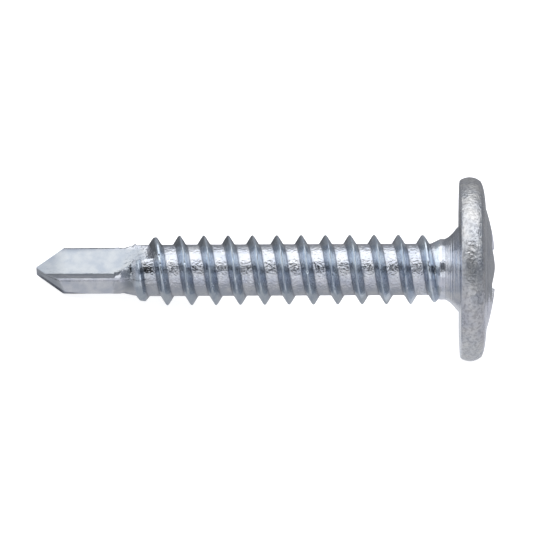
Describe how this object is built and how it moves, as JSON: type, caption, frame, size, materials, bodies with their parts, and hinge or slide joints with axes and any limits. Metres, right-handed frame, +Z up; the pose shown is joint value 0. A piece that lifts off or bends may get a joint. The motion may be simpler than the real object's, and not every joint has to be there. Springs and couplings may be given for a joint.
{
  "type": "self drilling screw",
  "caption": "Self drilling sheet metal screw with a wide wafer head, cross recess, full thread and a forged drill point.",
  "frame": {"origin": "middle of the footprint, on the surface the screw lies on", "axes": "+X along the screw's length towards the head, +Z up, +Y to the side; the screw lies on the head's rim and the first full thread crest, so its own axis rises about 10.7 degrees towards the head"},
  "size_m": [0.0262, 0.0106, 0.0105],
  "materials": {
    "zinc_steel": "bright zinc plating over rolled and forged steel, slightly matt and mottled on the head's rim"
  },
  "bodies": {
    "root": {"screw": "zinc_steel"}
  },
  "joints": []
}
